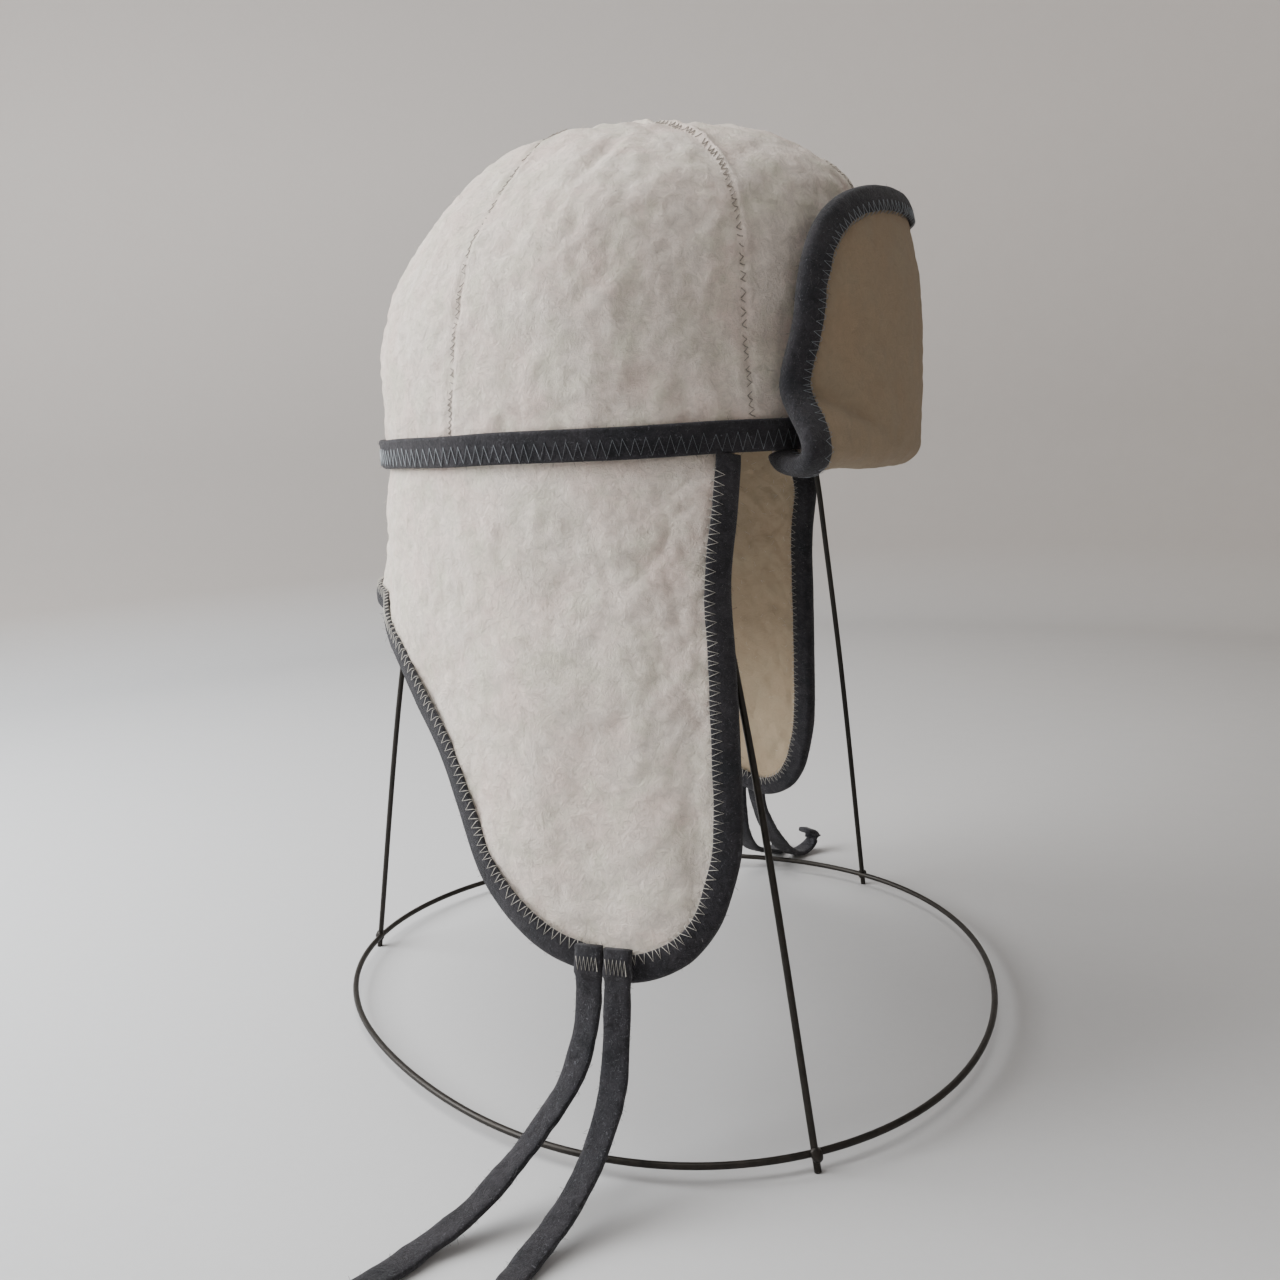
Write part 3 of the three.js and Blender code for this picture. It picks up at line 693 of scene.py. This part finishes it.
def bindingSection():
    near = hat["felt"] / 2 + hat["ease"] * 0.4
    far = near + hat["trim"]
    width = binding["width"]
    outer = corners((width, near), (width + binding["lip"], (near + far) / 2), (width, far),
                    (width * 0.55, far + binding["puff"]), (width * 0.2, far),
                    (-0.2 * far, far * 0.86), (-0.52 * far, far * 0.5), (-0.64 * far, 0))
    inner = [Vector((point.x, -point.y, 0)) for point in reversed(outer[:-1])]
    hollow = corners((0.2 * mm, -near), (-0.3 * near, 0), (0.2 * mm, near))
    return smoothLine(outer + inner, 2) + hollow


def makeBinding(name, surface, edge, node):
    section = bindingSection()
    section.append(section[0])
    stations = []
    for number, (turn, along) in enumerate(edge):
        before, after = edge[max(number - 1, 0)], edge[min(number + 1, len(edge) - 1)]
        roundSlope, downSlope = slopes(surface, turn, along)
        forward = surface(*after) - surface(*before)
        inwards = downSlope.cross(roundSlope).normalized().cross(forward).normalized()
        stations.append(Vector((turn, along, inwards.dot(roundSlope) / roundSlope.length_squared,
                                inwards.dot(downSlope) / downSlope.length_squared)))
    steps = len(stations) - 1

    def place(column, row):
        number = round(column * steps)
        turn, along, turnStep, alongStep = stations[number]
        corner = section[round(row * (len(section) - 1))]
        waver = 0.35 * mm * noise.noise(Vector((number * 0.09, 4.0, 2.0)))
        inset = corner.x + (waver if corner.x > 0.3 * binding["width"] else 0)
        point, normal = faceAt(surface, turn + inset * turnStep, along + inset * alongStep)
        return point + normal * (corner.y * (1 + 0.05 * noise.noise(point / (7 * mm))))

    piece = gridPiece(name, steps, len(section) - 1, place)
    capEnds(piece)
    finishPiece(piece, "charcoal_felt", charcoalFelt)
    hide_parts(node)
    return stations


hemPath = [(binding["startTurn"], bindingStart)] + hemEdge + [(360 - binding["startTurn"], bindingStart)]
hemStations = makeBinding("flapBinding", skirtPoint, hemPath, "skirt_binding")
sideRows = [(turn, along) for turn, along in visorRows if along >= bindingStart]
topTurn = visorRows[-1][0]
visorPath = [(-turn, along) for turn, along in sideRows]
visorPath += [(between(-topTurn, topTurn, number / 60), visorLength) for number in range(1, 60)]
visorPath += [(turn, along) for turn, along in reversed(sideRows)]
visorStations = makeBinding("visorBinding", visorPoint, visorPath, "visor_binding")


def makeBand():
    half = hat["bandWidth"] / 2
    inner, outer = hat["gap"], hat["gap"] + hat["trim"]
    section = smoothLine(corners(
        (inner, -half), (outer, -half * 0.98), (outer + 0.2 * mm, -half * 0.4),
        (outer + 0.3 * mm, half * 0.5), (outer + 0.5 * mm, half * 0.96),
        (inner + 0.5 * mm, half), (inner, 0), (inner, -half)), 3)

    def place(column, row):
        turn = 360 * column
        corner = section[round(row * (len(section) - 1))]
        spot = hatPoint(turn, 60 * mm, 0)
        waver = 0.5 * mm * noise.noise(spot / (22 * mm))
        swell = 0.25 * mm * noise.noise(spot / (6 * mm) + Vector((0, 0, corner.y / (4 * mm))))
        out = corner.x + (swell if corner.x > inner else 0)
        return hatPoint(turn, bandRadius(turn, out), hat["seamHeight"] + corner.y + waver)

    piece = gridPiece("bandStrip", 420, len(section) - 1, place)
    pointFacesOut(piece)
    finishPiece(piece, "charcoal_felt", charcoalFelt)
    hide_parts("band")


makeBand()
print("band and bindings made")


# threads: round strands along lines, for the stitches, the wires and the loose fibres
def makeThreads(name, lines, radius, material, slot, roundness=0):
    threads = bpy.data.curves.new(name, "CURVE")
    threads.dimensions = "3D"
    threads.bevel_depth = radius
    threads.bevel_resolution = roundness
    threads.use_fill_caps = True
    for line in lines:
        spline = threads.splines.new("POLY")
        spline.points.add(len(line) - 1)
        for point, spot in zip(spline.points, line):
            point.co = (*spot, 1)
    piece = bpy.data.objects.new(name, threads)
    bpy.context.collection.objects.link(piece)
    bpy.ops.object.select_all(action="DESELECT")
    piece.select_set(True)
    bpy.context.view_layer.objects.active = piece
    bpy.ops.object.convert(target="MESH")
    piece = bpy.context.object
    piece.name = piece.data.name = name
    finishPiece(piece, slot, material)
    return piece


# zigzag stitches: how far apart, how deep on each side of the seam, and each thread's radius
stitches = {
    "bandPitch": 3.6 * mm, "bandLow": -4.3 * mm, "bandHigh": 1.4 * mm, "bandThread": 0.14 * mm,
    "edgePitch": 3.1 * mm, "onTrim": -3.1 * mm, "onFelt": 0.9 * mm, "edgeThread": 0.11 * mm,
    "seamCount": 108, "seamFrom": 0.03, "seamReach": 0.82, "seamSide": 0.8 * mm, "seamThread": 0.16 * mm,
    "overBand": onBand + 0.5 * mm, "overTrim": hat["felt"] / 2 + hat["trim"] + 0.55 * mm,
    "overFelt": hat["felt"] / 2 + 0.25 * mm, "overSeam": 0.42 * mm, "missed": 0.2,
}


def bandStitches():
    count = round(2 * math.pi * hat["halfBack"] / stitches["bandPitch"])
    line = []
    for number in range(2 * count):
        turn = 180 * number / count + dice.uniform(-0.18, 0.18)
        up = (stitches["bandHigh"] if number % 2 else stitches["bandLow"]) + dice.uniform(-0.4, 0.4) * mm
        line.append(hatPoint(turn, bandRadius(turn, stitches["overBand"]), hat["seamHeight"] + up))
    line.append(line[0])
    return line


def edgeStitches(surface, stations, side):
    walked = [0.0]
    for start, end in zip(stations, stations[1:]):
        walked.append(walked[-1] + (surface(end[0], end[1]) - surface(start[0], start[1])).length)
    count = round(walked[-1] / stitches["edgePitch"] * 2)
    top, lip = stitches["overTrim"], stitches["overTrim"] - 0.05 * mm
    beats = ((0.0, stitches["onTrim"], top), (0.34, 0.1 * mm, lip),
             (0.5, stitches["onFelt"], stitches["overFelt"]), (0.66, 0.1 * mm, lip))
    line, spot = [], 0
    for number in range(1, count // 2 - 1):
        wobble = dice.uniform(-0.12, 0.12)
        for beat, across, level in beats:
            wanted = walked[-1] * (number + beat + wobble) / (count / 2)
            while walked[spot + 1] < wanted:
                spot += 1
            share = (wanted - walked[spot]) / (walked[spot + 1] - walked[spot])
            turn, along, turnStep, alongStep = between(stations[spot], stations[spot + 1], share)
            inset = binding["width"] + binding["lip"] + across + dice.uniform(-0.12, 0.12) * mm
            point, normal = faceAt(surface, turn + inset * turnStep, along + inset * alongStep)
            line.append(point + normal * level * side)
    return line


def seamStitches(number):
    low, high, ridge = seams[number]
    lines = []
    count = stitches["seamCount"]
    for step in range(count):
        first = stitches["seamFrom"] + stitches["seamReach"] * (step + dice.uniform(-0.25, 0.25)) / count
        stitch = []
        for part in range(3):
            reach = first + 0.0035 * part
            share = crownLine[int(reach * (len(crownLine) - 1))][0] / hat["halfLength"]
            side = (part - 1) * stitches["seamSide"] * (1 if step % 2 else -1)
            side += dice.uniform(-0.15, 0.15) * mm
            turn = between(low, high, reach) + math.degrees(side / (share * hat["halfLength"]))
            point = crownBase(turn, reach)[0]
            outwards = (point - hatAxis - Vector((0, 0, hat["seamHeight"] - 20 * mm))).normalized()
            lift = stitches["overSeam"] + seamRelief(side, reach, ridge) + lumps(point, 3.1)
            stitch.append(point + outwards * (lift - 0.12 * mm * abs(part - 1)))
        if dice.random() > stitches["missed"]:
            lines.append(stitch)
    return lines


makeThreads("bandStitches", [bandStitches()], stitches["bandThread"], greyThread, "charcoal_felt")
makeThreads("flapStitches", [edgeStitches(skirtPoint, hemStations, side) for side in (1, -1)],
            stitches["edgeThread"], paleThread, "cream_felt")
makeThreads("visorStitches", [edgeStitches(visorPoint, visorStations, side) for side in (1, -1)],
            stitches["edgeThread"], greyThread, "charcoal_felt")
makeThreads("seamStitches", [stitch for number in range(len(seams)) for stitch in seamStitches(number)],
            stitches["seamThread"], dullThread, "cream_felt")
print("stitches made")


# tie strings, flat felt strips that hang from the flaps and lie on the table
ties = {
    "width": 8.5 * mm, "thick": 2.5 * mm, "sewn": 8.5 * mm, "sewnThicker": 1.55, "sewnWider": 1.08,
    "rightRear": ((10.2, -124.9, 73), (10.15, -126.6, 65), (10.1, -128.6, 55), (9.2, -132.3, 45.5),
                  (6.4, -139.2, 34.5), (-0.4, -149.0, 24.0), (-8.3, -158.7, 14.6), (-16.4, -169.4, 7.4),
                  (-25.2, -179.9, 3.2), (-31.0, -189.5, 1.9), (-36.5, -198.5, 1.7)),
    "rightFront": ((19.8, -125.2, 72.5), (19.7, -126.9, 65), (19.6, -129.0, 55), (19.9, -132.8, 45),
                   (20.4, -141.0, 33), (18.3, -151.6, 21.6), (14.5, -159.6, 12.6), (10.0, -169.3, 6.2),
                   (5.6, -179.8, 2.6), (3.6, -189.5, 1.8), (2.2, -198.5, 1.7)),
    "leftRear": ((8.8, 102.6, 65), (8.85, 103.0, 57), (8.9, 103.6, 48), (8.7, 105.4, 38),
                 (8.6, 109.4, 28.5), (9.4, 115.6, 19.8), (11.4, 122.4, 13.4), (14.2, 129.6, 9.6),
                 (16.4, 137.0, 6.4), (18.0, 144.5, 3.3), (18.8, 152.0, 1.9), (18.6, 161.0, 1.7)),
    "leftFront": ((18.6, 100.7, 64), (18.7, 101.1, 56), (19.0, 102.2, 47), (20.5, 105.6, 37.5),
                  (22.3, 112.6, 27.6), (24.2, 121.6, 18.8), (26.0, 130.4, 11.4), (27.6, 137.6, 6.8),
                  (28.9, 143.2, 3.6), (31.0, 148.8, 2.3), (34.4, 153.8, 3.4), (37.2, 156.6, 7.0),
                  (36.9, 155.8, 11.2), (33.8, 151.6, 13.2)),
}


def stripAcross(line):
    across, found = None, []
    for number in range(len(line)):
        forward = line[min(number + 1, len(line) - 1)] - line[max(number - 1, 0)]
        level = Vector((-forward.y, forward.x, 0)).normalized()
        if across is not None and across.dot(level) < 0:
            level.negate()
        across = level
        found.append((level, forward.cross(level).normalized()))
    return found


def makeTie(name, route, node):
    points = [Vector(point) * mm + partShift for point in route]
    line = evenSteps(smoothLine(points), 150)
    sides = stripAcross(line)
    wide, thick = ties["width"] / 2, ties["thick"] / 2
    shoulder, level = wide * 0.93, thick * 0.8
    section = smoothLine(corners(
        (-wide, 0), (-shoulder, level), (0, thick), (shoulder, level), (wide, 0),
        (shoulder, -level), (0, -thick), (-shoulder, -level), (-wide, 0)), 3)

    def place(column, row):
        number = round(column * (len(line) - 1))
        corner = section[round(row * (len(section) - 1))]
        across, upright = sides[number]
        along = lineLength(line) * column
        ruffle = 1 + 0.07 * noise.noise(Vector((number * 0.13, len(name), points[0].x * 90)))
        nap = 0.3 * mm * noise.noise(line[number] / (4 * mm) + across * corner.x / (3 * mm))
        sewn = 1 - ease((along - ties["sewn"]) / (1.2 * mm))
        outer = upright.dot(line[0] - hatAxis) * corner.y > 0
        swell = between(1, ties["sewnThicker"] if outer else 1.0, sewn)
        wider = between(1, ties["sewnWider"], sewn)
        return line[number] + across * (corner.x * ruffle * wider) + upright * (corner.y * swell + nap)

    piece = gridPiece(name, len(line) - 1, len(section) - 1, place)
    capEnds(piece)
    finishPiece(piece, "charcoal_felt", charcoalFelt)
    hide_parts(node)
    return sewnEnd(line, sides)


def sewnEnd(line, sides):
    spacing = lineLength(line) / (len(line) - 1)
    lift = ties["thick"] * 0.5 * ties["sewnThicker"] + 0.15 * mm
    zigzag = []
    for step in range(12):
        across = between(-0.42, 0.42, step / 11) * ties["width"]
        along = (ties["sewn"] - 1.2 * mm) * (1 if step % 2 else 0.42)
        number = round(along / spacing)
        level, upright = sides[number]
        outwards = upright if upright.dot(line[0] - hatAxis) > 0 else -upright
        zigzag.append(line[number] + level * across + outwards * lift)
    return zigzag


tieEnds = [
    makeTie("tieRightRear", ties["rightRear"], "tie_right_rear"),
    makeTie("tieRightFront", ties["rightFront"], "tie_right_front"),
    makeTie("tieLeftRear", ties["leftRear"], "tie_left_rear"),
    makeTie("tieLeftFront", ties["leftFront"], "tie_left_front"),
]
makeThreads("tieStitches", tieEnds, stitches["bandThread"], paleThread, "charcoal_felt")
print("ties made")


# wire stand
stand = {
    "wire": 2.4 * mm, "ringRadius": 133 * mm, "ringHeight": 5.6 * mm, "topRadius": 52 * mm,
    "inset": 8 * mm, "weld": 1.8 * mm,
    "waves": ((2, 0.043, -31), (3, 0.036, 53)),  # waves round the ring, depth, crest
    # the turns of foot and waist, and how far the leg bows towards the front
    "legs": ((-56.5, -59.7, 2.2 * mm), (59.2, 43.4, 1.2 * mm), (177.3, 180.4, -2.6 * mm)),
    "solder": 2.1 * mm,
}
stand["topHeight"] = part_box("wire_stand")[1].z - stand["wire"] / 2


def ringPoint(turn, out, height):
    share = 1
    for count, depth, crest in stand["waves"]:
        share += depth * math.cos(count * math.radians(turn - crest))
    radius = stand["ringRadius"] * share + out
    angle = math.radians(turn)
    return Vector((radius * math.cos(angle), radius * math.sin(angle), height)) + partShift


def makeStand():
    wires = [[ringPoint(2 * number, 0, stand["ringHeight"]) for number in range(181)],
             [hatPoint(4 * number, stand["topRadius"], stand["topHeight"]) for number in range(91)]]
    for foot, waist, bow in stand["legs"]:
        footPlace = ringPoint(foot, stand["weld"], 0.0)
        bend = hatPoint(waist, bandRadius(waist, -stand["inset"]), hat["seamHeight"])
        top = hatPoint(waist, stand["topRadius"], stand["topHeight"])
        middle = footPlace.lerp(bend, 0.5) + Vector((bow, 0, 0))
        soft = [footPlace.lerp(bend, 0.86) + Vector((bow * 0.4, 0, 0)), top.lerp(bend, 0.75)]
        lower = smoothLine([footPlace, middle, soft[0]], 12)
        rounded = interpolate_bezier(soft[0], soft[0].lerp(bend, 0.6), soft[1].lerp(bend, 0.6), soft[1], 14)
        wires.append(lower + rounded[1:] + [top])
    piece = makeThreads("wireStand", wires, stand["wire"] / 2, darkWire, "dark_wire", 3)
    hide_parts("wire_stand")


def addSolder(number, place):
    bpy.ops.object.select_all(action="DESELECT")
    bpy.ops.mesh.primitive_ico_sphere_add(subdivisions=3, radius=stand["solder"])
    blob = bpy.context.object
    blob.name = blob.data.name = "solder" + str(number)
    for point in blob.data.vertices:
        lump = 1 + 0.25 * noise.noise(point.co / (2 * mm) + Vector((number, 0, 0)))
        point.co = place + Vector((point.co.x, point.co.y, point.co.z * 1.15)) * lump
    finishPiece(blob, "dark_wire", darkWire)


makeStand()
for number, (foot, waist, bow) in enumerate(stand["legs"]):
    addSolder(number, ringPoint(foot, stand["weld"] * 0.6, stand["ringHeight"]))
    addSolder(number + 3, hatPoint(waist, stand["topRadius"], stand["topHeight"]))
print("stand made")


# loose fibres that stand off the felt
fibres = {"thick": 0.045 * mm, "cream": (0.9 * mm, 2.6 * mm), "charcoal": (0.7 * mm, 1.9 * mm)}


def addFibres(owner, count, reach, material, slot):
    surface = bpy.data.objects[owner].data
    hairs = []
    for number in range(count):
        root = surface.vertices[dice.randrange(len(surface.vertices))]
        side = Vector([dice.uniform(-1, 1) for axis in range(3)])
        flat = side - root.normal * side.dot(root.normal)
        lean = (root.normal * dice.uniform(0.15, 0.8) + flat.normalized()).normalized()
        length = dice.uniform(*reach)
        curl = Vector([dice.uniform(-1, 1) for axis in range(3)]) * length * 0.3
        start = root.co - root.normal * 0.05 * mm
        hairs.append([start, start + lean * length * 0.5 + curl * 0.4, start + lean * length + curl])
    makeThreads(owner + "Fibres", hairs, fibres["thick"], material, slot)


creamFibre = plainMaterial("creamFibre", (0.66, 0.60, 0.53), 0.8, 0.0, 300, 0.1)
greyFibre = plainMaterial("greyFibre", (0.07, 0.07, 0.075), 0.8, 0.0, 300, 0.4)
for owner, count in (("crown", 1500), ("neckAndFlaps", 1700)):
    addFibres(owner, count, fibres["cream"], creamFibre, "cream_felt")
for owner, count in (("flapBinding", 1500), ("visorBinding", 500), ("bandStrip", 700),
                     ("tieRightRear", 260), ("tieRightFront", 260),
                     ("tieLeftRear", 120), ("tieLeftFront", 120)):
    addFibres(owner, count, fibres["charcoal"], greyFibre, "charcoal_felt")
print("fibres made")


# floor, wall and light; the floor and wall colours carry painted light and shade, light and bluish on the
# window's side, darker and warmer on the far one, and the wall is painted lighter higher up
studio = {
    "radius": 0.86, "curve": 0.22, "tall": 1.3, "from": -0.55, "to": 0.9,
    "floor": ((0.585, 0.60, 0.62, 1), (0.385, 0.365, 0.345, 1)),
    "lowWall": ((0.455, 0.428, 0.408, 1), (0.335, 0.309, 0.289, 1)),
    "highWall": ((0.58, 0.548, 0.525, 1), (0.40, 0.37, 0.347, 1)),
}


def studioMaterial():
    material = plainMaterial("paleFloor", (0.60, 0.60, 0.605), 0.9, 0.0, 60, 0.02)
    tree = material.node_tree
    shader = tree.nodes["Principled BSDF"]
    where = tree.nodes.new("ShaderNodeTexCoord").outputs["Object"]
    apart = tree.nodes.new("ShaderNodeSeparateXYZ")
    tree.links.new(where, apart.inputs["Vector"])
    slant = addMaths(tree, "MULTIPLY", apart.outputs["Y"], 0.45)
    slant = addMaths(tree, "ADD", apart.outputs["X"], slant)
    # painted shade: the colours darken and warm from the window's side to the far one
    paintedShadeToRight = addRange(tree, slant, studio["from"], studio["to"])
    patches = addRange(tree, addNoise(tree, where, 260, 6, 0.7), 0.3, 0.7, 0.0, 0.06)
    floor = addMix(tree, paintedShadeToRight, *studio["floor"])
    lowWall = addMix(tree, paintedShadeToRight, *studio["lowWall"])
    highWall = addMix(tree, paintedShadeToRight, *studio["highWall"])
    # painted light: the wall is lighter higher up
    wall = addMix(tree, addRange(tree, apart.outputs["Z"], 0.12, 0.55), lowWall, highWall)
    whole = addMix(tree, addRange(tree, apart.outputs["Z"], 0.0, 0.07), floor, wall)
    tree.links.new(addMix(tree, patches, whole, (0.3, 0.29, 0.28, 1)), shader.inputs["Base Color"])
    return material


def makeStudio():
    radius, curve = studio["radius"], studio["curve"]
    profile = [(0.0, 0.0), (radius, 0.0)]
    for angle in range(6, 91, 6):
        bend = math.radians(angle)
        profile.append((radius + curve * math.sin(bend), curve * (1 - math.cos(bend))))
    profile.append((radius + curve, studio["tall"]))

    def place(column, row):
        out, height = profile[round(row * (len(profile) - 1))]
        angle = 2 * math.pi * column
        return Vector((out * math.cos(angle), out * math.sin(angle), height))

    room = gridPiece("studio", 96, len(profile) - 1, place)
    turnedOut(room, lambda spot: Vector((0, 0, 1)) - spot)
    room.data.materials.append(studioMaterial())
    bpy.ops.object.shade_smooth()


def addLight(name, place, aim, size, power, color):
    bpy.ops.object.select_all(action="DESELECT")
    bpy.ops.object.light_add(type="AREA", location=place)
    light = bpy.context.object
    light.name = name
    light.data.size = size
    light.data.energy = power
    light.data.color = color
    light.rotation_euler = (Vector(aim) - Vector(place)).to_track_quat("-Z", "Y").to_euler()


def lightRoom():
    world = bpy.data.worlds.new("room")
    world.use_nodes = True
    air = world.node_tree.nodes["Background"]
    air.inputs["Color"].default_value = (0.80, 0.82, 0.86, 1)
    air.inputs["Strength"].default_value = 0.35
    bpy.context.scene.world = world


makeStudio()
addLight("windowLight", (-0.80, -0.30, 0.60), (0, 0, 0.16), 0.7, 20, (0.975, 0.99, 1.0))
addLight("skyLight", (-0.30, -0.02, 1.2), (0, 0, 0.1), 0.8, 10.5, (1.0, 0.98, 0.95))
lightRoom()
print("studio made")
